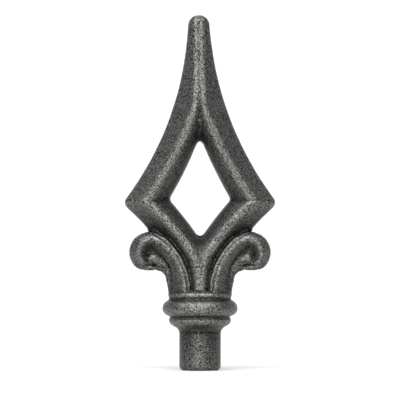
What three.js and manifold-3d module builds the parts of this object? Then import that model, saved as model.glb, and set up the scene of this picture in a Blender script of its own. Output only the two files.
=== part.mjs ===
// Forged fence spike: an open diamond spearhead over two scrolls, a turned collar and a round tang.
// One die forging, the same on both faces. Millimetres, +Z up, origin at the middle of the tang's end.
// X runs across the spike and Y through its thickness, with the dies' parting plane at y = 0.
import * as THREE from "three";
import { mergeVertices } from "three/addons/utils/BufferGeometryUtils.js";
import Module from "manifold-3d";

const wasm = await Module();
wasm.setup();
const { lerp, clamp, degToRad } = THREE.MathUtils;

// Driving sizes
const HEIGHT = 153.6;
const TANG_RADIUS = 9;
const NECK_RADIUS = 4.6;
const CORNER_REACH = 32.9;
const CORNER_HEIGHT = 72.9;
const PARTING_LAND = 1.6;
const DIAMOND_THICKNESS = 19;
const STEM_THICKNESS = 24;

// Blade: the flare of the outer edge, the ridge along each limb and the opening between the limbs
const TIP_DOME = 4.7;
const TIP_FLAT_SHARE = 0.3;
const NECK_TOP = HEIGHT - 4.1;
const NECK_FOOT = 118;
const FLARE_STRAIGHT = 0.22;
const FLARE_POWER = 2.27;
const CORNER_ROUNDING = 2.9;
const CORNER_STRETCH = 4;
const UPPER_FLANK_WIDTH = 9.25;
const LOWER_FLANK_WIDTH = 11.25;
const FLANK_SLOPE = 0.87;
const RIDGE_HALF_WIDTH = 1.6;
const RIDGE_ROUNDING = 1;
const RIDGE_JOIN = 2;
const LAND_BEVEL = 0.4;
const CREST_REACH = 24.3;
const CREST_CORNER_HEIGHT = 73.6;
const CRESTS_MEET = 42.4;
const CREST_STRAIGHT = 0.43;
const OPENING_TOP = 98.7;
const OPENING_BOTTOM = 58.1;
const OPENING_CORNER_HEIGHT = 73.8;
const OPENING_REACH = 13.3;
const UPPER_EDGES_MEET = 101.2;
const UPPER_EDGE_STRAIGHT = 0.8;
const LOWER_EDGES_MEET = 56.7;
const LOWER_EDGE_STRAIGHT = 0.87;
const OPENING_CORNER_ROUNDING = 0.15;
const APEX_ROUNDING = 1.2;
const HOLLOW_WIDTH = 7.6;
const HOLLOW_WIDENING = 0.36;
const HOLLOW_STEPS = 5;
const PAST_MIDDLE = 0.2;
const BLADE_FOOT = 30.3;

// Scrolls: the raised rim's route, the round end that it curls about, and the eye inside it
const RIM_START = 6.36;
const RIM_CENTRE = new THREE.Vector2(20.5, 50.7);
const RIM_RADIUS = 6.2;
const RIM_CURL = degToRad(139);
const RIM_END = new THREE.Vector2(17.2, 44.4);
const RIM_STEM_WIDTH = 1.7;
const RIM_INNER_WIDTH = 3.9;
const RIM_INNER_NARROWING = 1.3;
const RIM_INSET = 0.1;
const DISC_CENTRE = new THREE.Vector2(21.9, 51);
const DISC_RADIUS = 8.8;
const DISC_END_TURN = degToRad(72);
const NOTCH = new THREE.Vector2(24, 61.8);
const NOTCH_FLOOR = new THREE.Vector2(23.3, 59.8);
const UNDERSIDE = 43.05;
const WEB_THICKNESS = 6;
const STEM_RIM_DEPTH = 11.5;
const SCROLL_RIM_DEPTH = 8.8;
const CURL_END_DEPTH = 6.6;
const RIM_END_DEPTH = 5.8;
const CHEEK_END = 0.72;
const CHEEK_TOP_REACH = 17;
const CHEEK_INSET = 0.2;
const THROAT_RADIUS = 3.95;
const STEM_REACH = 13.6;
const STEM_TOP_REACH = 14.8;
const BEAD_ROUTE = [[19, 60.2], [11.64, 57.1], [5.4, 45.9], [4.1, 32]];
const BEAD_RADIUS = 0.5;
const BEAD_STEM_DEPTH = 10.9;
const BEAD_RISE_START = -0.35;
const INSIDE_BLADE = [[12, 58], [0, 45]];
const EYE_CENTRE = new THREE.Vector2(18.2, 47.1);
const EYE_HALF_SIZE = new THREE.Vector3(5, 3, 7.6);
const EYE_TILT = degToRad(40);

// Neck groove, collar and tang, from the top down
const GROOVE_ARC_TOP = 35;
const GROOVE_HALF_WIDTH = 9;
const GROOVE_RADIUS = 11;
const RING_ROUNDING = 0.7;
const RING_TOP = 33.1;
const RING_FOOT = 30.3;
const RING_RADIUS = 13.6;
const TORUS_HEIGHT = 26.65;
const TORUS_CORE_RADIUS = 12.8;
const TORUS_BULGE = 3.5;
const TORUS_HALF_HEIGHT = 3.75;
const FILLET_RADIUS = 13.4;
const COVE_RADIUS = 4.2;
const COVE_FOOT = 15.5;
const TANG_END_ROUNDING = 2;
const COLLAR_SIDES = 36;

// The smaller of two edges with their meeting rounded over a width, and the same for the larger
function smoothMin(a, b, width) {
  const overlap = Math.max(width - Math.abs(a - b), 0) / width;
  return Math.min(a, b) - (overlap * overlap * width) / 4;
}

function smoothMax(a, b, width) {
  return -smoothMin(-a, -b, width);
}

// How far a value lies from one end of a stretch to the other, held between 0 and 1
function along(value, from, to) {
  return clamp((value - from) / (to - from), 0, 1);
}

// A curved edge that starts at zero where t is 0: a straight share, and the rest by a power of t
function bowed(t, straight, power = 2) {
  return straight * t + (1 - straight) * Math.sign(t) * Math.abs(t) ** power;
}

function flare(z) {
  const down = (NECK_TOP - z) / (NECK_TOP - CORNER_HEIGHT);
  return NECK_RADIUS + (CORNER_REACH - NECK_RADIUS) * bowed(down, FLARE_STRAIGHT, FLARE_POWER);
}

function lowerCrest(z) {
  return CREST_REACH * bowed((z - CRESTS_MEET) / (CREST_CORNER_HEIGHT - CRESTS_MEET), CREST_STRAIGHT);
}

function outerEdge(z) {
  return smoothMin(flare(z), lowerCrest(z) + LOWER_FLANK_WIDTH, CORNER_ROUNDING);
}

function crestLine(z) {
  const limb = smoothMin(flare(z) - UPPER_FLANK_WIDTH, lowerCrest(z), RIDGE_ROUNDING);
  return smoothMax(limb, RIDGE_HALF_WIDTH, RIDGE_JOIN);
}

// Straight run of the opening's edge, carried on past its two ends
function openingLine(z) {
  const down = (UPPER_EDGES_MEET - z) / (UPPER_EDGES_MEET - OPENING_CORNER_HEIGHT);
  const up = (z - LOWER_EDGES_MEET) / (OPENING_CORNER_HEIGHT - LOWER_EDGES_MEET);
  const upper = bowed(down, UPPER_EDGE_STRAIGHT);
  const lower = bowed(up, LOWER_EDGE_STRAIGHT);
  return OPENING_REACH * smoothMin(upper, lower, OPENING_CORNER_ROUNDING);
}

// Edge of the opening with its round ends. Above and below it, the limb runs to just past the middle.
function openingEdge(z) {
  const fromEnd = Math.min(OPENING_TOP - z, z - OPENING_BOTTOM);
  if (fromEnd < 0) return -PAST_MIDDLE;
  const rise = Math.min(fromEnd, APEX_ROUNDING);
  const round = Math.sqrt(rise * (2 * APEX_ROUNDING - rise)) + 2 * (fromEnd - rise);
  return Math.min(openingLine(z), round);
}

// Half thickness at the ridge: it follows the flank's slope in the neck and swells in the stem
function crestDepth(z) {
  const swell = along(z, OPENING_BOTTOM, RING_TOP);
  const limb = lerp(DIAMOND_THICKNESS, STEM_THICKNESS, swell) / 2;
  const neck = PARTING_LAND + FLANK_SLOPE * (outerEdge(z) - crestLine(z));
  return z > CORNER_HEIGHT ? smoothMin(neck, limb, RIDGE_ROUNDING) : limb;
}

// Height of the flank at a distance from the middle, where the fine bead lies on it
function flankDepth(x, z) {
  const run = (outerEdge(z) - x) / (outerEdge(z) - crestLine(z));
  return PARTING_LAND + (crestDepth(z) - PARTING_LAND) * run;
}

// Closed three.js geometry to a solid that can be joined and cut, turned right side out
function solid(source) {
  const bare = source.clone();
  bare.deleteAttribute("normal");
  bare.deleteAttribute("uv");
  const merged = mergeVertices(bare, 1e-4);
  const make = (triVerts) => new wasm.Manifold(new wasm.Mesh({
    numProp: 3,
    vertProperties: Float32Array.from(merged.attributes.position.array),
    triVerts,
  }));
  const triangles = Uint32Array.from(merged.index.array);
  const body = make(triangles);
  return body.volume() > 0 ? body : make(triangles.reverse());
}

// A solid skinned over rings of points, all with the same number of points
function loft(rings) {
  const count = rings[0].length;
  const positions = rings.flat(2);
  const index = [];
  rings.slice(1).forEach((ring, r) => {
    ring.forEach((point, k) => {
      const here = r * count + k;
      const next = r * count + ((k + 1) % count);
      index.push(here, next, here + count, next, next + count, here + count);
    });
  });
  const middle = (ring) => [0, 1, 2].map((axis) => ring.reduce((sum, p) => sum + p[axis], 0) / count);
  const close = (ring, first, flip) => {
    const centre = positions.length / 3;
    positions.push(...middle(ring));
    ring.forEach((point, k) => {
      const edge = [first + k, first + ((k + 1) % count)];
      index.push(...(flip ? edge.reverse() : edge), centre);
    });
  };
  close(rings[0], 0, true);
  close(rings.at(-1), (rings.length - 1) * count, false);
  const geometry = new THREE.BufferGeometry();
  geometry.setAttribute("position", new THREE.Float32BufferAttribute(positions, 3));
  geometry.setIndex(index);
  return solid(geometry);
}

// The front half of a section, given as [place, depth], and its mirror on the back as one outline
function bothFaces(front) {
  const back = front.slice(1, -1).reverse().map(([place, depth]) => [place, -depth]);
  return [...front, ...back];
}

// Values from one number towards another, without the last
function steps(from, to, count) {
  return Array.from({ length: count }, (_, k) => lerp(from, to, k / count));
}

// Right half of the blade cut level at z: land, flat flank, rounded ridge and hollowed inner side
function bladeSection(z) {
  const fromTip = along(z, HEIGHT, HEIGHT - TIP_DOME);
  const dome = Math.max(Math.sqrt(fromTip * (2 - fromTip)), TIP_FLAT_SHARE);
  const full = [outerEdge(z), crestLine(z), crestDepth(z), PARTING_LAND];
  const [outer, crest, top, land] = full.map((size) => size * dome);
  const foot = outer - LAND_BEVEL * dome;
  const shoulder = crest + 1.6 * RIDGE_ROUNDING * dome;
  const fall = (0.6 * RIDGE_ROUNDING * dome * (top - land)) / (foot - crest - RIDGE_ROUNDING * dome);
  const inner = openingEdge(z);
  const widening = HOLLOW_WIDENING * Math.max(OPENING_BOTTOM - z, 0);
  const hollow = Math.max(crest - Math.min(openingLine(z), inner), HOLLOW_WIDTH + widening);
  const front = [[outer, 0], [foot, land], [shoulder, top - fall], [crest, top]];
  const lastTurn = Math.asin(Math.min((crest - inner) / hollow, 1));
  const turns = [...steps(0, lastTurn, HOLLOW_STEPS).slice(1), lastTurn];
  turns.forEach((turn) => {
    front.push([crest - hollow * Math.sin(turn), land + (top - land) * Math.cos(turn)]);
  });
  front.push([inner, 0]);
  return bothFaces(front).map(([x, depth]) => [x, depth, z]);
}

function blade() {
  const heights = [
    ...steps(HEIGHT, HEIGHT - TIP_DOME, 5),
    ...steps(HEIGHT - TIP_DOME, NECK_FOOT, 6),
    ...steps(NECK_FOOT, OPENING_TOP, 5),
    ...steps(OPENING_TOP, OPENING_TOP - APEX_ROUNDING, 2),
    ...steps(OPENING_TOP - APEX_ROUNDING, CORNER_HEIGHT + CORNER_STRETCH, 5),
    ...steps(CORNER_HEIGHT + CORNER_STRETCH, CORNER_HEIGHT - CORNER_STRETCH, 8),
    ...steps(CORNER_HEIGHT - CORNER_STRETCH, OPENING_BOTTOM + APEX_ROUNDING, 3),
    ...steps(OPENING_BOTTOM + APEX_ROUNDING, OPENING_BOTTOM, 2),
    ...steps(OPENING_BOTTOM - 0.01, BLADE_FOOT, 6),
    BLADE_FOOT,
  ];
  return loft(heights.map(bladeSection));
}

// How far the scroll's silhouette lies from a point of its rim, in the direction out
function reachFrom(at, out) {
  const offset = DISC_CENTRE.clone().sub(at);
  const ahead = offset.dot(out);
  const aside = offset.lengthSq() - ahead * ahead;
  const round = ahead + Math.sqrt(Math.max(DISC_RADIUS * DISC_RADIUS - aside, 0));
  return out.y < 0 ? Math.min(round, (UNDERSIDE - at.y) / out.y) : round;
}

// The ridge of the rim as it rises from the collar and bows out to the top of the scroll
function rimRise() {
  const top = RIM_CENTRE.y + RIM_RADIUS;
  return new THREE.CubicBezierCurve(
    new THREE.Vector2(RIM_START, RING_FOOT),
    new THREE.Vector2(RIM_START, 46.4),
    new THREE.Vector2(12.3, top),
    new THREE.Vector2(RIM_CENTRE.x, top),
  );
}

function riseDepth(share) {
  return lerp(STEM_RIM_DEPTH, SCROLL_RIM_DEPTH, share);
}

// Stations on the rim: up from the collar, round the curl and back along the underside
function rimStations() {
  const onCurl = (turn) => {
    const out = new THREE.Vector2(Math.sin(turn), Math.cos(turn));
    return { at: out.clone().multiplyScalar(RIM_RADIUS).add(RIM_CENTRE), out };
  };
  const onCurve = (curve, share) => {
    const tangent = curve.getTangent(share);
    return { at: curve.getPoint(share), out: new THREE.Vector2(-tangent.y, tangent.x) };
  };
  const curl = onCurl(RIM_CURL);
  const onward = new THREE.Vector2(curl.out.y, -curl.out.x).multiplyScalar(RIM_RADIUS / 4).add(curl.at);
  const level = new THREE.Vector2(DISC_CENTRE.x - 2, RIM_END.y);
  const tuck = new THREE.CubicBezierCurve(curl.at, onward, level, RIM_END);
  const rise = rimRise();
  return [
    ...steps(0, 1, 10).map((t) => ({ ...onCurve(rise, t), depth: riseDepth(t), open: t ** 3, fade: 0 })),
    ...steps(0, 1, 9).map((t) => {
      const depth = lerp(SCROLL_RIM_DEPTH, CURL_END_DEPTH, t * t);
      return { ...onCurl(RIM_CURL * t), depth, open: 1, fade: t };
    }),
    ...[...steps(0, 1, 4), 1].map((t) => {
      const depth = lerp(CURL_END_DEPTH, RIM_END_DEPTH, t);
      return { ...onCurve(tuck, t), depth, open: 1, fade: 1 + t };
    }),
  ];
}

function scrollRim() {
  const rings = rimStations().map(({ at, out, depth, open, fade }) => {
    const outside = lerp(RIM_STEM_WIDTH, reachFrom(at, out) - RIM_INSET, open);
    const inside = RIM_INNER_WIDTH - RIM_INNER_NARROWING * fade;
    const turns = [0, 0.2, 0.45, 0.7, 1].map((share) => (Math.PI / 2) * share);
    const front = turns.map((turn) => [outside * Math.cos(turn), depth * Math.sin(turn)]);
    turns.slice(0, -1).reverse().forEach((turn) => {
      front.push([-inside * Math.cos(turn), depth * Math.sin(turn)]);
    });
    return bothFaces(front).map(([u, d]) => [at.x + u * out.x, d, at.y + u * out.y]);
  });
  return loft(rings);
}

// Silhouette of the stem's side, from the ring up to the throat under the scroll
function stemEdge(z) {
  const throatLow = UNDERSIDE - THROAT_RADIUS;
  if (z < throatLow) return lerp(STEM_REACH, STEM_TOP_REACH, along(z, RING_FOOT, throatLow) ** 2);
  const up = Math.min(z - throatLow, THROAT_RADIUS);
  return STEM_TOP_REACH + THROAT_RADIUS - Math.sqrt(THROAT_RADIUS * THROAT_RADIUS - up * up);
}

// The flat web that the scroll is raised on: it has the silhouette of stem, throat and round end
function scrollWeb() {
  const throatHeights = [RING_FOOT, ...steps(UNDERSIDE - THROAT_RADIUS, UNDERSIDE, 6), UNDERSIDE];
  const start = Math.asin((UNDERSIDE - DISC_CENTRE.y) / DISC_RADIUS);
  const outline = new THREE.Shape();
  outline.moveTo(0, RING_FOOT);
  throatHeights.forEach((z) => outline.lineTo(stemEdge(z), z));
  outline.absarc(DISC_CENTRE.x, DISC_CENTRE.y, DISC_RADIUS, start, DISC_END_TURN, false);
  outline.quadraticCurveTo(NOTCH_FLOOR.x, NOTCH_FLOOR.y, NOTCH.x, NOTCH.y);
  INSIDE_BLADE.forEach(([x, z]) => outline.lineTo(x, z));
  const plate = { depth: WEB_THICKNESS, bevelEnabled: false, curveSegments: 28 };
  const web = new THREE.ExtrudeGeometry(outline, plate);
  web.translate(0, 0, -WEB_THICKNESS / 2);
  web.rotateX(Math.PI / 2);
  return solid(web);
}

// The stem's rounded side, from the rim's ridge out to the silhouette, dying out under the scroll
function stemCheek() {
  const rise = rimRise();
  const rings = [...steps(0, CHEEK_END, 11), CHEEK_END].map((share) => {
    const ridge = rise.getPoint(share);
    const shrink = along(ridge.y, UNDERSIDE, rise.getPoint(CHEEK_END).y);
    const reach = lerp(Math.min(stemEdge(ridge.y), CHEEK_TOP_REACH) - ridge.x, 1, shrink);
    const depth = riseDepth(share) - CHEEK_INSET;
    const turns = [0, 0.15, 0.32, 0.5, 0.7, 0.85, 1].map((part) => (Math.PI / 2) * part);
    const front = turns.map((turn) => [ridge.x + reach * Math.cos(turn), depth * Math.sin(turn)]);
    front.push([ridge.x - RIM_STEM_WIDTH + CHEEK_INSET, 0]);
    return bothFaces(front).map(([x, d]) => [x, d, ridge.y]);
  });
  return loft(rings);
}

// Fine bead that runs down each flank beside the scroll, on the front and the back
function bead(face) {
  const route = new THREE.CubicBezierCurve(...BEAD_ROUTE.map(([x, z]) => new THREE.Vector2(x, z)));
  const rings = [...steps(0, 1, 12), 1].map((share) => {
    const at = route.getPoint(share);
    const tangent = route.getTangent(share);
    const seat = Math.max(flankDepth(at.x, at.y), BEAD_STEM_DEPTH * along(share, BEAD_RISE_START, 1));
    return [0, 1, 2, 3, 4, 5].map((k) => {
      const turn = (Math.PI * k) / 3;
      const aside = BEAD_RADIUS * Math.cos(turn);
      const depth = seat + BEAD_RADIUS * 2 * Math.sin(turn) - BEAD_RADIUS;
      return [at.x + aside * tangent.y, face * depth, at.y - aside * tangent.x];
    });
  });
  return loft(rings);
}

// The scroll's eye: a smooth lump that runs from under the stem into the middle of the curl
function scrollEye() {
  const eye = new THREE.SphereGeometry(1, 14, 9);
  eye.scale(EYE_HALF_SIZE.x, EYE_HALF_SIZE.y, EYE_HALF_SIZE.z);
  eye.rotateZ(EYE_TILT);
  eye.rotateX(Math.PI / 2);
  eye.translate(EYE_CENTRE.x, 0, EYE_CENTRE.y);
  return solid(eye);
}

// Neck groove: an arched slot across both faces, cut down to a round core above the collar
function neckGroove() {
  const depth = 2 * STEM_THICKNESS;
  const arch = new THREE.Shape();
  arch.moveTo(-GROOVE_HALF_WIDTH, RING_TOP);
  arch.quadraticCurveTo(0, 2 * GROOVE_ARC_TOP - RING_TOP, GROOVE_HALF_WIDTH, RING_TOP);
  arch.lineTo(GROOVE_HALF_WIDTH, RING_TOP - 1);
  arch.lineTo(-GROOVE_HALF_WIDTH, RING_TOP - 1);
  const slot = new THREE.ExtrudeGeometry(arch, { depth, bevelEnabled: false, curveSegments: 10 });
  slot.translate(0, 0, -depth / 2);
  slot.rotateX(Math.PI / 2);
  const core = new THREE.CylinderGeometry(GROOVE_RADIUS, GROOVE_RADIUS, RING_RADIUS, COLLAR_SIDES);
  core.rotateX(Math.PI / 2);
  core.translate(0, 0, RING_TOP);
  return solid(slot).subtract(solid(core));
}

// Points on an arc of an ellipse in the lathe's profile, with angles in degrees
function profileArc(radius, z, wide, high, from, to, count) {
  return [...steps(from, to, count), to].map(degToRad)
    .map((turn) => new THREE.Vector2(radius + wide * Math.cos(turn), z + high * Math.sin(turn)));
}

// Collar and tang, turned round: ring, fat torus, fillet, cove and plain tang with an eased flat end
function collarAndTang() {
  const coveCentre = TANG_RADIUS + COVE_RADIUS;
  const ringCentre = RING_RADIUS - RING_ROUNDING;
  const filletFoot = COVE_FOOT + COVE_RADIUS + RING_ROUNDING;
  const endFlat = TANG_RADIUS - TANG_END_ROUNDING;
  const profile = [
    new THREE.Vector2(0, 0),
    ...profileArc(endFlat, TANG_END_ROUNDING, TANG_END_ROUNDING, TANG_END_ROUNDING, -90, 0, 3),
    ...profileArc(coveCentre, COVE_FOOT, -COVE_RADIUS, COVE_RADIUS, 0, 80, 4),
    ...profileArc(FILLET_RADIUS - RING_ROUNDING, filletFoot, RING_ROUNDING, RING_ROUNDING, -70, 0, 2),
    ...profileArc(TORUS_CORE_RADIUS, TORUS_HEIGHT, TORUS_BULGE, TORUS_HALF_HEIGHT, -76, 70, 8),
    ...profileArc(ringCentre, RING_TOP - RING_ROUNDING, RING_ROUNDING, RING_ROUNDING, -10, 90, 2),
    new THREE.Vector2(GROOVE_RADIUS - 1, RING_TOP),
    new THREE.Vector2(0, RING_TOP + 1),
  ];
  const turned = new THREE.LatheGeometry(profile, COLLAR_SIDES);
  turned.rotateX(Math.PI / 2);
  return solid(turned);
}

// The whole forging
const right = [scrollRim(), scrollWeb(), stemCheek(), scrollEye(), bead(1), bead(-1)]
  .reduce((body, piece) => body.add(piece), blade());
const head = right.add(right.mirror([1, 0, 0])).subtract(neckGroove());
const forging = head.add(collarAndTang()).getMesh();

const shape = new THREE.BufferGeometry();
shape.setAttribute("position", new THREE.Float32BufferAttribute(forging.vertProperties, 3));
shape.setIndex(new THREE.BufferAttribute(forging.triVerts, 1));

const rawSteel = new THREE.MeshStandardMaterial({ color: 0x5b5b59, roughness: 0.55, metalness: 0.9 });
const spike = new THREE.Mesh(shape, rawSteel);
spike.name = "fence_spike";

export default new THREE.Group().add(spike);
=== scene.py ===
"""Forged fence spike: the dressed model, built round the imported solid. Metres, +Z up."""
import math

import bpy
import numpy as np
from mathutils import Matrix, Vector, noise


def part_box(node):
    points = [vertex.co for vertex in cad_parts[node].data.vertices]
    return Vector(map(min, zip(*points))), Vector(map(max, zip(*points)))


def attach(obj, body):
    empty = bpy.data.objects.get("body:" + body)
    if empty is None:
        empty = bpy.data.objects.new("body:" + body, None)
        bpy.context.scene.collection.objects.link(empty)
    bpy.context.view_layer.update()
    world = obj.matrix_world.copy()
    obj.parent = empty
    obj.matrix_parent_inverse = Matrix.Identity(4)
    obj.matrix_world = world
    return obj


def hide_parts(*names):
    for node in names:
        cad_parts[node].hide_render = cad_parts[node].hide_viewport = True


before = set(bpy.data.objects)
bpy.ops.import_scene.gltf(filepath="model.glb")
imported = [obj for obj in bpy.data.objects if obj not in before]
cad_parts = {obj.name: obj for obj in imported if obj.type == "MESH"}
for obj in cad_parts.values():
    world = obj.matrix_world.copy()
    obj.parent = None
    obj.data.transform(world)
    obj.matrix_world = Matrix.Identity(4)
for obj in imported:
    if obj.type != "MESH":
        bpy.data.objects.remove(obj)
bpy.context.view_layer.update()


# Blade
# An open diamond and its long point, of one piece of mild steel with the rest. Die forging gives
# each limb a sloping flank, a soft ridge, a hollowed inner side and a flat land where the dies meet.

# The spike's sizes are in millimetres, up from the tang's flat end and out from the middle
MILLIMETRE = 0.001
cad_low, cad_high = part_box("fence_spike")
HEIGHT = (cad_high[2] - cad_low[2]) / MILLIMETRE

# Outer edge: it flares from the neck down to the corner and runs back in below it
NECK_RADIUS = 4.6
NECK_TOP = HEIGHT - 4.1
CORNER_REACH = 32.9
CORNER_HEIGHT = 72.9
CORNER_ROUNDING = 4.6
FLARE_STRAIGHT = 0.22
FLARE_POWER = 2.27
LOWER_FLANK_WIDTH = 11.25

# Crest: the ridge line along each limb
UPPER_FLANK_WIDTH = 9.25
CREST_REACH = 24.3
CREST_CORNER_HEIGHT = 73.6
CREST_STRAIGHT = 0.43
CRESTS_MEET = 42.4
RIDGE_HALF_WIDTH = 1.6
RIDGE_ROUNDING = 1.0
RIDGE_JOIN = 2.0
RIDGES_PART = RIDGE_HALF_WIDTH + 0.5, RIDGE_HALF_WIDTH + 3.5

# Edges of the diamond opening between the limbs
OPENING_TOP = 98.7
OPENING_BOTTOM = 58.1
OPENING_CORNER_HEIGHT = 73.8
OPENING_REACH = 13.3
OPENING_CORNER_ROUNDING = 0.15
UPPER_EDGES_MEET = 101.2
UPPER_EDGE_STRAIGHT = 0.8
LOWER_EDGES_MEET = 56.7
LOWER_EDGE_STRAIGHT = 0.87

# Thickness, and the section across a limb from its land over the ridge into the hollow
DIAMOND_THICKNESS = 19
STEM_THICKNESS = 24
RING_TOP = 33.1
PARTING_LAND = 1.6
FLANK_SLOPE = 0.87
RIDGE_SOFTNESS = 4.2
JOINED_SOFTNESS = 2.2
RIDGE_FULL_RISE = 7.0
STEEPENING_START = 1.25
STEEPENING_END = 1.35
HOLLOW_WIDTH = 7.6
HOLLOW_WIDENING = 0.36

# Fine seam up the middle of the neck, above the opening
SEAM_RISE = 0.7
SEAM_SPREAD = 0.5
SEAM_START = OPENING_TOP + 1, OPENING_TOP + 3
SEAM_TOP = 109.5
SEAM_END = SEAM_TOP - 2, SEAM_TOP

# Domed tip
TIP_DOME = 4.7
TIP_HALF_DEPTH = 4.7
TIP_FULLNESS = 2.05
TIP_FOOT = HEIGHT - TIP_DOME


def smooth_min(a, b, width):
    """The smaller of two values, with their meeting rounded over a width."""
    overlap = np.maximum(width - np.abs(a - b), 0) / width
    return np.minimum(a, b) - overlap * overlap * width / 4


def smooth_max(a, b, width):
    return -smooth_min(-a, -b, width)


def along(value, start, end):
    """How far a value lies from one end of a stretch to the other, held between 0 and 1."""
    return np.clip((value - start) / (end - start), 0, 1)


def eased(value, start, end):
    share = along(value, start, end)
    return share * share * (3 - 2 * share)


def bowed(t, straight, power=2.0):
    """A curved edge that starts at zero: a straight share, and the rest by a power of t."""
    return straight * t + (1 - straight) * np.sign(t) * np.abs(t) ** power


def flare(z):
    down = (NECK_TOP - z) / (NECK_TOP - CORNER_HEIGHT)
    return NECK_RADIUS + (CORNER_REACH - NECK_RADIUS) * bowed(down, FLARE_STRAIGHT, FLARE_POWER)


def lower_crest(z):
    return CREST_REACH * bowed((z - CRESTS_MEET) / (CREST_CORNER_HEIGHT - CRESTS_MEET), CREST_STRAIGHT)


def outer_edge(z):
    return smooth_min(flare(z), lower_crest(z) + LOWER_FLANK_WIDTH, CORNER_ROUNDING)


def crest_line(z):
    limb = smooth_min(flare(z) - UPPER_FLANK_WIDTH, lower_crest(z), RIDGE_ROUNDING)
    return smooth_max(limb, RIDGE_HALF_WIDTH, RIDGE_JOIN)


def opening_line(z):
    down = (UPPER_EDGES_MEET - z) / (UPPER_EDGES_MEET - OPENING_CORNER_HEIGHT)
    up = (z - LOWER_EDGES_MEET) / (OPENING_CORNER_HEIGHT - LOWER_EDGES_MEET)
    upper, lower = bowed(down, UPPER_EDGE_STRAIGHT), bowed(up, LOWER_EDGE_STRAIGHT)
    return OPENING_REACH * smooth_min(upper, lower, OPENING_CORNER_ROUNDING)


def crest_depth(z):
    """Half thickness at the ridge: it follows the flank's slope in the neck and swells in the stem."""
    swell = along(z, OPENING_BOTTOM, RING_TOP)
    limb = (DIAMOND_THICKNESS + (STEM_THICKNESS - DIAMOND_THICKNESS) * swell) / 2
    neck = PARTING_LAND + FLANK_SLOPE * (outer_edge(z) - crest_line(z))
    return np.where(z > CORNER_HEIGHT, smooth_min(neck, limb, RIDGE_ROUNDING), limb)


def steepening(share):
    """Height left on a side that drops from a ridge and steepens towards its foot: 1 to 0."""
    share = np.clip(share, 0, 1)
    return (1 - share ** STEEPENING_START) ** (1 / STEEPENING_END)


def blade_height(x, z):
    """Half thickness of the limbs and the point: land, flank, ridge, hollow side and seam."""
    outer, crest, top = outer_edge(z), crest_line(z), crest_depth(z)
    hollow_width = np.maximum(crest - np.maximum(opening_line(z), 0),
                              HOLLOW_WIDTH + HOLLOW_WIDENING * np.maximum(OPENING_BOTTOM - z, 0))
    spread = eased(crest, *RIDGES_PART)
    softness = JOINED_SOFTNESS + (RIDGE_SOFTNESS - JOINED_SOFTNESS) * spread
    softness = softness * np.minimum((top - PARTING_LAND) / RIDGE_FULL_RISE, 1)
    rise = top + softness / 4 - PARTING_LAND
    flank = 1 + (crest - x) / (outer - crest)
    hollow = np.where(x < crest, steepening((crest - x) / hollow_width), 1 + (x - crest) / hollow_width)
    seam = SEAM_RISE * np.exp(-(x / SEAM_SPREAD) ** 2)
    seam = seam * eased(z, *SEAM_START) * (1 - eased(z, *SEAM_END))
    return PARTING_LAND + smooth_min(rise * flank, rise * hollow, softness) + seam


def tip_shape(x, z):
    """Outline distance and height of the domed end."""
    up = np.maximum(z - TIP_FOOT, 0) / TIP_DOME
    half_width = outer_edge(TIP_FOOT)
    fullness = ((x / half_width) ** TIP_FULLNESS + up ** TIP_FULLNESS) ** (1 / TIP_FULLNESS)
    height = TIP_HALF_DEPTH * np.maximum(1 - fullness ** TIP_FULLNESS, 0) ** (1 / TIP_FULLNESS)
    return (fullness - 1) * TIP_DOME, height


# Scrolls
# Two leaf scrolls of the same steel, forged in one with the stem, that curl outwards. Each has a
# raised rim, a round cheek towards the stem, an eye inside the curl and a fine bead above it.
FAR = 1e9
SHORTEST = 1e-9
RING_FOOT = 30.3

# Silhouette of the stem, the throat under the scroll and the scroll's round end
STEM_REACH = 13.6
STEM_TOP_REACH = 14.8
THROAT_RADIUS = 3.95
UNDERSIDE = 43.05
UNDERSIDE_SOFTNESS = 1.5
DISC_CENTRE = np.array([21.9, 51.0])
DISC_RADIUS = 8.8
INSIDE_DISC = [[19.5, 47], [17, 57.6]]
INSIDE_BLADE = [[12, 58], [0, 45]]
STEM_POINTS = 6
THROAT_POINTS = 14

# Rim: it rises from the collar, turns round the curl and tucks back along the underside
RIM_STATIONS = 240, 160, 80
RIM_RISE_START = [[6.2, RING_FOOT], [4.4, 47.3]]
RIM_RISE_EASE = 4.1
RIM_CENTRE = np.array([20.3, 51.0])
RIM_RADIUS = 6.0
RIM_CURL = math.radians(139)
TUCK_EASE = RIM_RADIUS / 4
TUCK_BEND = DISC_CENTRE[0] - 2
RIM_END = np.array([17.2, 44.0])
STEM_RIM_DEPTH = 11.2
SCROLL_RIM_DEPTH = 9.0
CURL_END_DEPTH = 7.0
RIM_END_DEPTH = 4.8
RIM_SOFTNESS = 1.5
RIM_INNER_SLOPE = 1.15
RIM_OUTER_SLOPE = 1.5
RIM_BLEND = 0.8

# Ground beside the rim, the gutter at its foot, and the pit and the groove round the eye
WEB_HALF_THICKNESS = 3.0
GROUND_DEPTH = 5.5
GROUND_WIDTH = 4.5
PAST_LIMB = DISC_CENTRE[0] - 6, DISC_CENTRE[0] - 1
RIM_FOOT_DEPTH = 1.3
RIM_FOOT_OFFSET = 1.6
RIM_FOOT_SPREAD = 0.6
PIT_DEPTH = 1.8
PIT_OFFSET = 2.8
PIT_SPREAD = 0.9
PIT_START = 0.25, 0.6
PIT_END = 0.6, 0.2
TUCK_GROOVE_HEIGHT = 45.3
TUCK_GROOVE_SPREAD = 0.55
TUCK_GROOVE_DEPTH = 0.8
TUCK_GROOVE_START = 18, 19.5
TUCK_GROOVE_END = 22.6, 24.4

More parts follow.
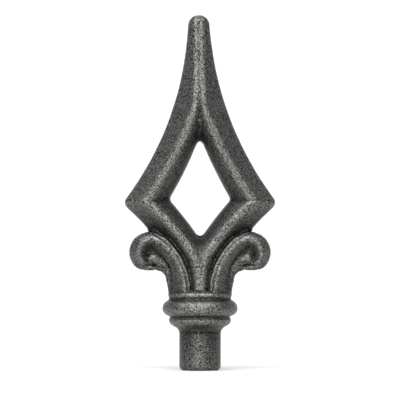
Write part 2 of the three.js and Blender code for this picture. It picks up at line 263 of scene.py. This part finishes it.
# Eye: the outer shoulder of the stem, carried on into the curl
ROUTE_STATIONS = 200
EYE_ROUTE = [[11.2, 33], [11.6, 42.0], [14.5, 47.4], [20.3, 48.7]]
EYE_START_DEPTH = 5.4
EYE_END_DEPTH = 6.9
EYE_UPPER_WIDTH = 3.4
EYE_LOWER_WIDTH = 4.6
EYE_BLEND = 0.5

# Bead: a fine raised line from the notch down to the collar, which fades on its way
BEAD_ROUTE = [[20.5, 60.2], [19, 61.4], [2.5, 49.2], [4.3, 32]]
BEAD_RISE = 0.95
BEAD_SPREAD = 0.5
BEAD_FADE = 0.4
BEAD_BEGINS = 0, 0.06
BEAD_PAST_END = 0.4
BEAD_GUTTER = 0.1
BEAD_GUTTER_OFFSET = 1.4
BEAD_GUTTER_SPREAD = 0.9
BEAD_GROOVE = 0.4
BEAD_GROOVE_OFFSET = 1.2


def curve(points, count):
    """Points along a cubic curve, with the direction at each."""
    a, b, c, d = [np.array(p, float) for p in points]
    t = np.linspace(0, 1, count)[:, None]
    at = a * (1 - t) ** 3 + 3 * b * t * (1 - t) ** 2 + 3 * c * t * t * (1 - t) + d * t ** 3
    way = 3 * (b - a) * (1 - t) ** 2 + 6 * (c - b) * t * (1 - t) + 3 * (d - c) * t * t
    return at, way / np.linalg.norm(way, axis=1)[:, None]


def left_of(way):
    return np.stack([-way[:, 1], way[:, 0]], axis=1)


def beside(x, z, at, out):
    """The nearest station of a route, how far off it is, and how far a point lies to its out side."""
    gap = np.full(x.shape, FAR)
    station = np.zeros(x.shape, int)
    for k, (u, v) in enumerate(at):
        d = (x - u) ** 2 + (z - v) ** 2
        closer = d < gap
        gap = np.where(closer, d, gap)
        station = np.where(closer, k, station)
    aside = (x - at[station, 0]) * out[station, 0] + (z - at[station, 1]) * out[station, 1]
    return station, np.sqrt(gap), aside


def stem_edge(z):
    throat_low = UNDERSIDE - THROAT_RADIUS
    straight = STEM_REACH + (STEM_TOP_REACH - STEM_REACH) * along(z, RING_FOOT, throat_low) ** 2
    up = np.clip(z - throat_low, 0, THROAT_RADIUS)
    return np.where(z < throat_low, straight,
                    STEM_TOP_REACH + THROAT_RADIUS - np.sqrt(THROAT_RADIUS ** 2 - up ** 2))


def stem_outline():
    """The silhouette of the stem and the throat, closed inside the round end and the blade."""
    low = np.linspace(RING_FOOT, UNDERSIDE - THROAT_RADIUS, STEM_POINTS)
    throat = UNDERSIDE - THROAT_RADIUS * np.cos(np.linspace(0, np.pi / 2, THROAT_POINTS))[1:]
    stem = [[stem_edge(z), z] for z in np.concatenate([low, throat])]
    return np.array([[0, RING_FOOT], *stem, *INSIDE_DISC, *INSIDE_BLADE])


def outline_distance(u, v, outline, closed_by_axis=False):
    """Distance from points to a closed outline, negative inside it."""
    ends = np.roll(outline, -1, axis=0)
    nearest = np.full(u.shape, FAR)
    inside = np.zeros(u.shape, bool)
    for (au, av), (bu, bv) in zip(outline, ends):
        run_u, run_v = bu - au, bv - av
        if not (closed_by_axis and au == bu == 0):
            share = ((u - au) * run_u + (v - av) * run_v) / max(run_u ** 2 + run_v ** 2, SHORTEST)
            share = np.clip(share, 0, 1)
            gap = (u - au - share * run_u) ** 2 + (v - av - share * run_v) ** 2
            nearest = np.minimum(nearest, gap)
        if av != bv:
            crosses = ((av > v) != (bv > v)) & (u < au + (v - av) * run_u / run_v)
            inside ^= crosses
    return np.where(inside, -1, 1) * np.sqrt(nearest)


def scroll_outline(x, z):
    """Distance inside or outside the silhouette of stem, throat and round end."""
    disc = np.hypot(x - DISC_CENTRE[0], z - DISC_CENTRE[1]) - DISC_RADIUS
    disc = smooth_max(disc, UNDERSIDE - z, UNDERSIDE_SOFTNESS)
    return np.minimum(disc, outline_distance(x, z, stem_outline()))


def rim_rise():
    top = RIM_CENTRE[1] + RIM_RADIUS
    return [*RIM_RISE_START, [RIM_CENTRE[0] - RIM_RISE_EASE, top], [RIM_CENTRE[0], top]]


def rim_route():
    """Stations on the rim: up from the collar, round the curl and back along the underside.
    With each go the direction out of the curl, the ridge's depth and how deep the pit is."""
    rising, curling, tucking = [np.linspace(0, 1, count) for count in RIM_STATIONS]
    rise, rise_way = curve(rim_rise(), len(rising))
    turns = np.linspace(0, RIM_CURL, len(curling))
    curl_out = np.stack([np.sin(turns), np.cos(turns)], axis=1)
    curl = RIM_CENTRE + RIM_RADIUS * curl_out
    onward = curl[-1] + np.array([curl_out[-1, 1], -curl_out[-1, 0]]) * TUCK_EASE
    tuck, tuck_way = curve([curl[-1], onward, [TUCK_BEND, RIM_END[1]], RIM_END], len(tucking))
    at = np.concatenate([rise, curl, tuck])
    out = np.concatenate([left_of(rise_way), curl_out, left_of(tuck_way)])
    depth = np.concatenate([STEM_RIM_DEPTH + (SCROLL_RIM_DEPTH - STEM_RIM_DEPTH) * rising,
                            SCROLL_RIM_DEPTH + (CURL_END_DEPTH - SCROLL_RIM_DEPTH) * curling ** 2,
                            CURL_END_DEPTH + (RIM_END_DEPTH - CURL_END_DEPTH) * tucking])
    pitted = np.concatenate([0 * rising, eased(curling, *PIT_START), eased(tucking, *PIT_END)])
    return at, out, depth, pitted


def eye_height(x, z):
    """The outer shoulder of the stem, which runs up into the curl and ends there as its eye."""
    at, way = curve(EYE_ROUTE, ROUTE_STATIONS)
    station, gap, aside = beside(x, z, at, left_of(way))
    top = EYE_START_DEPTH + (EYE_END_DEPTH - EYE_START_DEPTH) * (station / (ROUTE_STATIONS - 1))
    width = np.where(aside > 0, EYE_UPPER_WIDTH, EYE_LOWER_WIDTH)
    share = np.minimum(gap / width, 1)
    return top * np.sqrt(1 - share * share)


def scroll_height(x, z):
    """Rim, outer band, fluted channel, pit and eye of the scroll."""
    at, out, depth, pitted = rim_route()
    station, gap, aside = beside(x, z, at, out)
    away = np.sqrt(gap * gap + RIM_SOFTNESS ** 2) - RIM_SOFTNESS
    rim = depth[station] - away * np.where(aside > 0, RIM_OUTER_SLOPE, RIM_INNER_SLOPE)
    inset = np.clip(-scroll_outline(x, z) / GROUND_WIDTH, 0, 1)
    bulge = np.sqrt(1 - (1 - inset) ** 2)
    ground = WEB_HALF_THICKNESS + (GROUND_DEPTH - WEB_HALF_THICKNESS) * bulge
    foot = RIM_FOOT_DEPTH * np.exp(-((aside - RIM_FOOT_OFFSET) / RIM_FOOT_SPREAD) ** 2)
    pit = PIT_DEPTH * pitted[station] * np.exp(-((aside + PIT_OFFSET) / PIT_SPREAD) ** 2)
    ground = np.where(aside > 0, ground * eased(x, *PAST_LIMB), ground) - foot - pit
    under_eye = np.exp(-((z - TUCK_GROOVE_HEIGHT) / TUCK_GROOVE_SPREAD) ** 2)
    under_eye *= eased(x, *TUCK_GROOVE_START) * (1 - eased(x, *TUCK_GROOVE_END))
    lifted = smooth_max(smooth_max(rim, ground, RIM_BLEND), eye_height(x, z), EYE_BLEND)
    return lifted - TUCK_GROOVE_DEPTH * under_eye


def bead_relief(x, z):
    """Rise of the fine bead above its ground, with a gutter and a groove on its two sides."""
    at, way = curve(BEAD_ROUTE, ROUTE_STATIONS)
    station, gap, aside = beside(x, z, at, left_of(way))
    share = station / (ROUTE_STATIONS - 1)
    begun = eased(share, *BEAD_BEGINS) * (gap < np.abs(aside) + BEAD_PAST_END)
    rise = BEAD_RISE * (1 - BEAD_FADE * share) * np.exp(-(aside / BEAD_SPREAD) ** 2)
    gutter = BEAD_GUTTER * np.exp(-((aside + BEAD_GUTTER_OFFSET) / BEAD_GUTTER_SPREAD) ** 2)
    groove = BEAD_GROOVE * np.exp(-((aside - BEAD_GROOVE_OFFSET) / BEAD_SPREAD) ** 2)
    return begun * (rise - gutter - groove)


# Neck groove, collar and tang
# The round foot of the same forging. An arched groove ends the ribs above a ring and a fat torus,
# and a shoulder and a cove lead down to the plain tang, which is set in a socket or welded to a bar.
GROOVE_RISE = 1.6
GROOVE_HALF_WIDTH = 9.6
GROOVE_DEPTH = 11
GROOVE_WALL = 0.5
RING_ROUNDING = 1.3
RING_RADIUS = 13.7
RING_HEIGHT = 32.5
RING_UNDERCUT = [13.1, 30.8]
TORUS_HEIGHT = 26.65
TORUS_CORE_RADIUS = 12.8
TORUS_BULGE = 3.5
TORUS_HALF_HEIGHT = 3.75
TORUS_UNDERSIDE = 3.2
TORUS_UNDERCUT = [12.9, 23.0]
SHOULDER_RADIUS = 13.5
SHOULDER_HEIGHT = 21.9
SHOULDER_ROUNDING = 2.6
COVE_RADIUS = 3.2
COVE_HEIGHT = 15.9
COVE_TURN = 75
TANG_RADIUS = 9
TANG_END_ROUNDING = 2
ARC_POINTS = 16


def profile_arc(radius, z, wide, high, start, end):
    """Points on an arc about a centre, from one angle in degrees to another."""
    turns = np.radians(np.linspace(start, end, ARC_POINTS))
    return np.stack([radius + wide * np.cos(turns), z + high * np.sin(turns)], axis=1)


def collar_profile():
    """Radius and height along the turned surface, from the tang's flat end up into the stem."""
    ring_centre = RING_RADIUS - RING_ROUNDING
    shoulder_centre = SHOULDER_RADIUS - SHOULDER_ROUNDING
    end_flat = TANG_RADIUS - TANG_END_ROUNDING
    return np.concatenate([
        [[0, 0]],
        profile_arc(end_flat, TANG_END_ROUNDING, TANG_END_ROUNDING, TANG_END_ROUNDING, -90, 0),
        profile_arc(TANG_RADIUS + COVE_RADIUS, COVE_HEIGHT, -COVE_RADIUS, COVE_RADIUS, 0, COVE_TURN),
        profile_arc(shoulder_centre, SHOULDER_HEIGHT, SHOULDER_ROUNDING, SHOULDER_ROUNDING,
                    -COVE_TURN, 0),
        [TORUS_UNDERCUT],
        profile_arc(TORUS_CORE_RADIUS, TORUS_HEIGHT, TORUS_BULGE, TORUS_UNDERSIDE, -80, -5),
        profile_arc(TORUS_CORE_RADIUS, TORUS_HEIGHT, TORUS_BULGE, TORUS_HALF_HEIGHT, 0, 70),
        [RING_UNDERCUT],
        profile_arc(ring_centre, RING_HEIGHT, RING_ROUNDING, RING_ROUNDING, -60, 70),
        [[GROOVE_DEPTH, RING_TOP + GROOVE_RISE], [0, RING_TOP + GROOVE_RISE]]])


# The whole forging
# One piece of mild steel, hot forged between two like dies that meet at the middle of its thickness.
# Each face is a height above that plane, and one skin is drawn round blade, scrolls and collar.
GRID = 0.4
MARGIN = 1.2
SCROLL_TOP = 68
COLLAR_TOP = RING_TOP + 3
STEEPEST = 6
EDGE_ROUNDING = 1.0
TIP_EDGE_ROUNDING = 0.1
TIP_BLEND = 1.3
LEAST_TIP_BLEND = 0.05
NOTCH_SOFTNESS = 2.5
APEX_SOFTNESS = 3.4
VALLEY_SOFTNESS = 0.5
FACE_BLEND = 0.8
COLLAR_BLEND = 0.3
HALF_STEP = 0.5
MOST_TRIANGLES = 190000


def head_height(x, z):
    """Half thickness of the blade, stem and scrolls over each point of the parting plane."""
    height = blade_height(x, z)
    tip_outline, tip_height = tip_shape(x, z)
    blend = TIP_BLEND * along(z, TIP_FOOT, HEIGHT) + LEAST_TIP_BLEND
    height = np.where(z > TIP_FOOT, smooth_min(height, tip_height, blend), height)
    low = z < SCROLL_TOP
    px, pz = x[low], z[low]
    in_scroll = np.clip(-scroll_outline(px, pz) / WEB_HALF_THICKNESS, 0, 1)
    web = WEB_HALF_THICKNESS * np.sqrt(in_scroll)
    scroll = np.where(in_scroll > 0, smooth_max(scroll_height(px, pz), web, FACE_BLEND), 0)
    body = smooth_max(scroll, height[low], FACE_BLEND) + bead_relief(px, pz)
    arch = RING_TOP + GROOVE_RISE * (1 - (px / GROOVE_HALF_WIDTH) ** 2)
    floor = GROOVE_DEPTH * np.sqrt(np.maximum(1 - (px / RING_RADIUS) ** 2, 0))
    cut = 1 - eased(pz, arch - GROOVE_WALL, arch)
    height[low] = body + (np.minimum(body, floor) - body) * cut
    return height


def across(edge, z):
    """The cosine that turns a distance measured level into one measured square to an edge."""
    slope = edge(z + HALF_STEP) - edge(z - HALF_STEP)
    return 1 / np.sqrt(1 + slope * slope)


def head_outline(x, z):
    """Distance inside or outside the head's silhouette, its opening taken out."""
    blade = (x - outer_edge(z)) * across(outer_edge, z)
    tip_outline, _ = tip_shape(x, z)
    blade = np.where(z > TIP_FOOT, tip_outline, blade)
    outline = np.maximum(smooth_min(blade, scroll_outline(x, z), NOTCH_SOFTNESS), RING_FOOT - z)
    square = across(opening_line, z)
    edge = opening_line(z)
    opening = smooth_max((x - edge) * square, (-x - edge) * square, APEX_SOFTNESS)
    return np.maximum(outline, -opening)


def grid_axis(low, high):
    return np.arange(low, high + GRID, GRID)


def forging_field():
    """Distance-like values on one quarter of the block, mirrored to the whole, with the height map
    and the place of the first grid point."""
    half_width = CORNER_REACH + MARGIN
    half_depth = TORUS_CORE_RADIUS + TORUS_BULGE + MARGIN
    xs = grid_axis(GRID / 2, half_width)
    ys = grid_axis(GRID / 2, half_depth)
    zs = grid_axis(-MARGIN, HEIGHT + MARGIN)
    x, z = np.meshgrid(xs, zs, indexing="ij")
    # Rounds the crease where the two mirrored halves meet
    soft_x = np.sqrt(x * x + VALLEY_SOFTNESS ** 2) - VALLEY_SOFTNESS / 3
    height = head_height(soft_x, z)
    outline = head_outline(x, z)
    slope_x, slope_z = np.gradient(height, GRID)
    steepness = np.minimum(np.sqrt(1 + slope_x ** 2 + slope_z ** 2), STEEPEST)
    face = (ys[None, :, None] - height[:, None, :]) / steepness[:, None, :]
    rounding = np.where(z > TIP_FOOT, TIP_EDGE_ROUNDING, EDGE_ROUNDING)
    field = smooth_max(face, outline[:, None, :], rounding[:, None, :])
    low = zs < COLLAR_TOP
    radius = np.hypot(xs[:, None], ys[None, :])
    r, rz = np.broadcast_arrays(radius[:, :, None], zs[None, None, low])
    collar = outline_distance(r, rz, collar_profile(), closed_by_axis=True)
    field[:, :, low] = smooth_min(field[:, :, low], collar, COLLAR_BLEND)
    quarter = field.astype(np.float32)
    half = np.concatenate([quarter[::-1], quarter], axis=0)
    whole = np.concatenate([half[:, ::-1], half], axis=1)
    origin = np.array([-xs[-1], -ys[-1], zs[0]])
    return whole, np.concatenate([height[::-1], height]), origin


def skin(field, origin):
    """A closed quad mesh where the field changes sign: one point in each cell that it crosses."""
    inside = field < 0
    corners = [(i, j, k) for i in (0, 1) for j in (0, 1) for k in (0, 1)]
    size = [n - 1 for n in field.shape]
    count = np.zeros(size, np.uint8)
    for i, j, k in corners:
        count += inside[i:i + size[0], j:j + size[1], k:k + size[2]]
    mixed = (count > 0) & (count < len(corners))
    cells = np.argwhere(mixed)
    number = np.full(size, -1)
    number[mixed] = np.arange(len(cells))

    # A cell's point is the middle of the places where its edges cross the skin
    total, hits = np.zeros((len(cells), 3)), np.zeros(len(cells))
    for axis in range(3):
        for corner in corners:
            if corner[axis]:
                continue
            far = list(corner)
            far[axis] = 1
            a = field[tuple((cells + corner).T)]
            b = field[tuple((cells + far).T)]
            crossed = (a < 0) != (b < 0)
            share = np.where(crossed, a / np.where(crossed, a - b, 1), 0)
            point = np.array(corner) + share[:, None] * (np.array(far) - corner)
            total += np.where(crossed[:, None], point, 0)
            hits += crossed
    points = (cells + total / hits[:, None]) * GRID + origin

    # The four cells round each grid edge that crosses the skin make a face
    faces = []
    for axis in range(3):
        near = [slice(1, -1)] * 3
        near[axis] = slice(0, -1)
        next_one = list(near)
        next_one[axis] = slice(1, None)
        a, b = inside[tuple(near)], inside[tuple(next_one)]
        lift = np.ones(3, int)
        lift[axis] = 0
        u, v = np.eye(3, dtype=int)[(axis + 1) % 3], np.eye(3, dtype=int)[(axis + 2) % 3]
        for crossed, turn in ((a & ~b, 1), (~a & b, -1)):
            at = np.argwhere(crossed) + lift
            ring = [at, at - u, at - u - v, at - v]
            quad = np.stack([number[tuple(c.T)] for c in ring], axis=1)
            faces.append(quad[:, ::turn])
    return points, np.concatenate(faces)


# Relief of the forging scale, and the lean of the tip
UNDULATION_SIZE = 9.0
UNDULATION_HEIGHT = 0.07
SCALE_PIT_SIZE = 1.7
SCALE_PIT_DEPTH = 0.05
TIP_LEAN = 0.56

# Tone of the steel: ridges are drawn lighter, partly as rubbed wear and partly as painted highlight,
# creases and hollows darker as painted shade, and the tang and the tip darker too
WEAR_AND_LIGHT_ROUNDS = 12
WEAR_AND_LIGHT_FULL = 0.25
RECESS_CELL = 0.8
RECESS_REACH = 20
RECESS_FULL = 6.0
RECESS_START = RING_TOP, RING_TOP + 2
TANG_DARKENING = 0.6
TANG_DARKENING_END = COVE_HEIGHT, SHOULDER_HEIGHT
TIP_DARKENING = 0.7
TIP_DARKENING_START = HEIGHT - TIP_DOME / 1.5, HEIGHT - 1


def scale_relief(points, normals):
    """Low relief of forging scale: broad unevenness, and small pits and lumps on top of it."""
    lift = np.empty(len(points))
    for k, point in enumerate(points.tolist()):
        at = Vector(point)
        broad = noise.noise(at / UNDULATION_SIZE)
        fine = noise.noise(at / SCALE_PIT_SIZE)
        lift[k] = UNDULATION_HEIGHT * broad + SCALE_PIT_DEPTH * fine
    return points + normals * lift[:, None]


def thinned(obj, triangles):
    """A copy of the mesh with about that many triangles, the flattest stretches thinned first."""
    faces = 2 * len(obj.data.polygons)
    modifier = obj.modifiers.new("thin", "DECIMATE")
    modifier.ratio = min(triangles / faces, 1)
    depsgraph = bpy.context.evaluated_depsgraph_get()
    made = bpy.data.meshes.new_from_object(obj.evaluated_get(depsgraph))
    obj.modifiers.remove(modifier)
    return made


def widest(values, reach, axis):
    """The largest value within a reach of cells to both sides along an axis."""
    best = values
    for _ in range(reach):
        before, after = np.roll(best, 1, axis), np.roll(best, -1, axis)
        best = np.maximum(best, np.maximum(before, after))
    return best


def closed_height(height, reach):
    """The height map with every hollow narrower than twice the reach filled."""
    padded = np.pad(height, reach)
    filled = widest(widest(padded, reach, 0), reach, 1)
    filled = -widest(widest(-filled, reach, 0), reach, 1)
    return filled[reach:-reach, reach:-reach]


def recess(points, height, origin):
    """How deep each point of the head lies below the filled height map."""
    step = round(RECESS_CELL / GRID)
    closed = closed_height(height[::step, ::step], round(RECESS_REACH / RECESS_CELL))
    at = (points[:, [0, 2]] - origin[[0, 2]]) / RECESS_CELL
    # A little under the last cell, so that its next one is on the map too
    cell = np.clip(at, 0, np.array(closed.shape) - 1.001)
    near, share = cell.astype(int), cell % 1
    i, k = near.T
    across_x = [closed[i, k + up] * (1 - share[:, 0]) + closed[i + 1, k + up] * share[:, 0]
                for up in (0, 1)]
    level = across_x[0] * (1 - share[:, 1]) + across_x[1] * share[:, 1]
    return np.maximum(level - np.abs(points[:, 1]), 0) * eased(points[:, 2], *RECESS_START)


def vectors(items, name):
    values = np.empty(3 * len(items))
    items.foreach_get(name, values)
    return values.reshape(-1, 3)


def standing_out(mesh, rounds):
    """How far each point stands out of its surroundings along its normal: above 0 on ridges."""
    points, normals = vectors(mesh.vertices, "co"), vectors(mesh.vertices, "normal")
    pairs = np.empty(2 * len(mesh.edges), int)
    mesh.edges.foreach_get("vertices", pairs)
    a, b = pairs.reshape(-1, 2).T
    number = len(points)
    count = np.bincount(a, minlength=number) + np.bincount(b, minlength=number)
    mean = points.copy()
    for _ in range(rounds):
        totals = [np.bincount(a, mean[b, k], number) + np.bincount(b, mean[a, k], number)
                  for k in range(3)]
        mean = np.stack([total / count for total in totals], axis=1)
    return ((points - mean) * normals).sum(axis=1)


def add_attribute(mesh, name, values):
    mesh.attributes.new(name, "FLOAT", "POINT").data.foreach_set("value", values)


# Raw forged steel
# Mild steel left as it came from the dies and the shot blast. The eye sees dull dark grey scale
# with a fine even grain, which sparkles a little on the ridges.
# The real grain is finer than a pixel, so it is drawn as coarse as it needs to show, in millimetres
GRAIN_WIDTH = 0.625
GRAIN_DETAIL = 2.0
GRAIN_RELIEF = 0.3
GRAIN_DARK = 0.35
GRAIN_LIGHT = 0.7
DARK_STEEL = "1F1F1E"
LIGHT_STEEL = "767674"
WEAR_AND_LIGHT_TONE = 0.45, 1.75
SHADE_AND_DARKENING_TONE = 1.0, 0.45
STEEL_ROUGHNESS = 0.42


def linear(hex_colour):
    """A colour given as sRGB hex digits, as linear values."""
    channels = [int(hex_colour[k:k + 2], 16) / 255 for k in (0, 2, 4)]
    return [c / 12.92 if c <= 0.04045 else ((c + 0.055) / 1.055) ** 2.4 for c in channels] + [1]


def add_node(tree, kind, settings=None, links=None):
    """Adds a node, sets its properties and sockets, and links its inputs."""
    node = tree.nodes.new(kind)
    for name, value in (settings or {}).items():
        if hasattr(node, name):
            setattr(node, name, value)
        else:
            node.inputs[name].default_value = value
    for name, source in (links or {}).items():
        tree.links.new(source, node.inputs[name])
    return node


def from_to(given, wanted):
    """Settings that turn one range of values into another."""
    return {"From Min": given[0], "From Max": given[1], "To Min": wanted[0], "To Max": wanted[1]}


def forged_steel():
    material = bpy.data.materials.new("raw_forged_steel")
    material.use_nodes = True
    tree = material.node_tree
    tree.nodes.clear()
    place = add_node(tree, "ShaderNodeTexCoord").outputs["Object"]
    grain = add_node(tree, "ShaderNodeTexNoise",
                     {"Scale": 1 / (GRAIN_WIDTH * MILLIMETRE), "Detail": GRAIN_DETAIL},
                     {"Vector": place})
    tone = add_node(tree, "ShaderNodeValToRGB", {}, {"Fac": grain.outputs["Fac"]})
    dark, light = tone.color_ramp.elements
    dark.position, light.position = GRAIN_DARK, GRAIN_LIGHT
    dark.color, light.color = linear(DARK_STEEL), linear(LIGHT_STEEL)
    # Ridges lighter, partly as rubbed wear and partly as painted highlight; creases and hollows darker
    # as painted shade; the tang and the tip darker
    wear_and_painted_light = add_node(tree, "ShaderNodeAttribute", {"attribute_name": "wear_and_painted_light"})
    recess = add_node(tree, "ShaderNodeAttribute", {"attribute_name": "recess"})
    ridge = add_node(tree, "ShaderNodeMapRange", from_to((-1, 1), WEAR_AND_LIGHT_TONE),
                     {"Value": wear_and_painted_light.outputs["Fac"]})
    ground = add_node(tree, "ShaderNodeMapRange", from_to((0, 1), SHADE_AND_DARKENING_TONE),
                      {"Value": recess.outputs["Fac"]})
    tone_with_painted_light = add_node(tree, "ShaderNodeMath", {"operation": "MULTIPLY"},
                    {0: ridge.outputs["Result"], 1: ground.outputs["Result"]})
    worn_and_shaded = add_node(tree, "ShaderNodeVectorMath", {"operation": "SCALE"},
                    {"Vector": tone.outputs["Color"], "Scale": tone_with_painted_light.outputs["Value"]})
    bump = add_node(tree, "ShaderNodeBump", {"Strength": 1.0, "Distance": GRAIN_RELIEF * MILLIMETRE},
                    {"Height": grain.outputs["Fac"]})
    shader = add_node(tree, "ShaderNodeBsdfPrincipled", {"Metallic": 1.0, "Roughness": STEEL_ROUGHNESS},
                      {"Base Color": worn_and_shaded.outputs["Vector"], "Normal": bump.outputs["Normal"]})
    add_node(tree, "ShaderNodeOutputMaterial", {}, {"Surface": shader.outputs["BSDF"]})
    return material


# The finished spike
# The skin is thinned where it is flattest, drawn light on its ridges, partly as rubbed wear and partly
# as painted highlight, dark in its creases and hollows as painted shade, darker on the tang and the
# tip, and it gets the low relief of scale. The tip leans a little to one side, as the photo shows.
field, height_map, origin = forging_field()
points, faces = skin(field, origin)
rough = bpy.data.meshes.new("fence_spike_forging")
rough.from_pydata(points.tolist(), [], faces.tolist())
forging = bpy.data.objects.new("fence_spike_forging", rough)
bpy.context.collection.objects.link(forging)
forging.data = thinned(forging, MOST_TRIANGLES)
mesh = forging.data
# Painted highlight and shade, partly rubbed wear: lighter on ridges, darker in creases
add_attribute(mesh, "wear_and_painted_light", np.clip(standing_out(mesh, WEAR_AND_LIGHT_ROUNDS) / WEAR_AND_LIGHT_FULL, -1, 1))
places = vectors(mesh.vertices, "co")
# Painted shade: darker the deeper a point lies in a hollow
shade_and_darkening = np.clip(recess(places, height_map, origin) / RECESS_FULL, 0, 1)
# The tang and the tip are made darker
shade_and_darkening += TANG_DARKENING * (1 - eased(places[:, 2], *TANG_DARKENING_END))
shade_and_darkening += TIP_DARKENING * eased(places[:, 2], *TIP_DARKENING_START)
add_attribute(mesh, "recess", shade_and_darkening)
relief = scale_relief(places, vectors(mesh.vertices, "normal"))
relief[:, 0] -= TIP_LEAN * along(relief[:, 2], CORNER_HEIGHT, HEIGHT) ** 2
mesh.vertices.foreach_set("co", (relief * MILLIMETRE).ravel())
mesh.shade_smooth()
mesh.update()
mesh.materials.append(forged_steel())
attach(forging, "root")
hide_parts("fence_spike")


# Floor and backdrop
# A pale matt floor and, behind the spike, a white sheet that sweeps up and glows a little, as lit
# paper does. Sizes are in metres.
FLOOR_FRONT = -2.5
FLOOR_BACK = 0.7
SHEET_HALF_WIDTH = 3.0
SWEEP_START = 2.1
SWEEP_RADIUS = 0.5
SWEEP_TOP = 1.6
SWEEP_POINTS = 16
FLOOR_COLOUR = "D2D2D0"
BACKDROP_COLOUR = "CECECE"
BACKDROP_GLOW = 0.75
PAPER_ROUGHNESS = 0.9


def paper(name, colour, glow=0.0):
    material = bpy.data.materials.new(name)
    material.use_nodes = True
    shader = material.node_tree.nodes["Principled BSDF"]
    shader.inputs["Base Color"].default_value = linear(colour)
    shader.inputs["Roughness"].default_value = PAPER_ROUGHNESS
    shader.inputs["Emission Color"].default_value = linear(colour)
    shader.inputs["Emission Strength"].default_value = glow
    return material


def sheet_of_paper(name, profile, material):
    """A backdrop or floor: a line of (y, z) points drawn out to both sides."""
    points = [(side * SHEET_HALF_WIDTH, y, z) for y, z in profile for side in (-1, 1)]
    faces = [(2 * k, 2 * k + 1, 2 * k + 3, 2 * k + 2) for k in range(len(profile) - 1)]
    mesh = bpy.data.meshes.new(name)
    mesh.from_pydata(points, [], faces)
    mesh.shade_smooth()
    mesh.materials.append(material)
    made = bpy.data.objects.new(name, mesh)
    bpy.context.collection.objects.link(made)


bend = [(SWEEP_START + SWEEP_RADIUS * math.sin(t), SWEEP_RADIUS * (1 - math.cos(t)))
        for t in np.radians(np.linspace(0, 90, SWEEP_POINTS))]
sheet_of_paper("floor", [(FLOOR_FRONT, 0), (FLOOR_BACK, 0)], paper("pale_floor", FLOOR_COLOUR))
sheet_of_paper("backdrop", [(FLOOR_BACK, 0), *bend, (bend[-1][0], SWEEP_TOP)],
               paper("white_backdrop", BACKDROP_COLOUR, BACKDROP_GLOW))


# Lights
# A broad soft one high in front, a low one that fills the front from the left, one overhead and an
# even white sky. Places and sizes are in metres.
KEY_PLACE = -0.12, -0.9, 1.45
KEY_SIZE = 2.6, 0.5
KEY_BRIGHTNESS = 11.0
FILL_PLACE = -0.28, -2.0, 0.25
FILL_SIZE = 1.5, 0.9
FILL_BRIGHTNESS = 5.4
OVERHEAD_PLACE = 0, 0.3, 1.6
OVERHEAD_SIZE = 1.6, 1.2
OVERHEAD_BRIGHTNESS = 2.8
SKY_COLOUR = "FFFFFF"
SKY_BRIGHTNESS = 0.45
SPIKE_MIDDLE = 0, 0, HEIGHT * MILLIMETRE / 2


def softbox(name, place, size, brightness):
    """A rectangular light whose face has the given brightness, aimed at the spike's middle."""
    data = bpy.data.lights.new(name, "AREA")
    data.shape = "RECTANGLE"
    data.size, data.size_y = size
    data.energy = brightness * math.pi * size[0] * size[1]
    light = bpy.data.objects.new(name, data)
    light.location = place
    light.rotation_euler = (Vector(SPIKE_MIDDLE) - Vector(place)).to_track_quat("-Z", "Y").to_euler()
    light.visible_camera = False
    bpy.context.collection.objects.link(light)


softbox("key_light", KEY_PLACE, KEY_SIZE, KEY_BRIGHTNESS)
softbox("front_fill", FILL_PLACE, FILL_SIZE, FILL_BRIGHTNESS)
softbox("overhead", OVERHEAD_PLACE, OVERHEAD_SIZE, OVERHEAD_BRIGHTNESS)

world = bpy.data.worlds.new("studio")
world.use_nodes = True
sky = world.node_tree.nodes["Background"]
sky.inputs["Color"].default_value = linear(SKY_COLOUR)
sky.inputs["Strength"].default_value = SKY_BRIGHTNESS
bpy.context.scene.world = world
bpy.context.scene.view_settings.view_transform = "Standard"


# Camera
# A long lens, level and dead ahead. The photo's frame, the spike's axis and foot in it, and the real
# size of a pixel place it. The distance is in metres and the sensor in millimetres.
PHOTO_SIDE = 400
PHOTO_AXIS_X = 200
PHOTO_FOOT_Y = 370.1
MM_PER_PIXEL = 0.4327
CAMERA_DISTANCE = 1.8
SENSOR = 36

camera_data = bpy.data.cameras.new("camera")
camera_data.sensor_width = SENSOR
camera_data.lens = SENSOR * CAMERA_DISTANCE / (PHOTO_SIDE * MM_PER_PIXEL * MILLIMETRE)
camera = bpy.data.objects.new("camera", camera_data)
camera.location = ((PHOTO_SIDE / 2 - PHOTO_AXIS_X) * MM_PER_PIXEL * MILLIMETRE, -CAMERA_DISTANCE,
                   (PHOTO_FOOT_Y - PHOTO_SIDE / 2) * MM_PER_PIXEL * MILLIMETRE)
camera.rotation_euler = (math.pi / 2, 0, 0)
bpy.context.collection.objects.link(camera)
bpy.context.scene.camera = camera
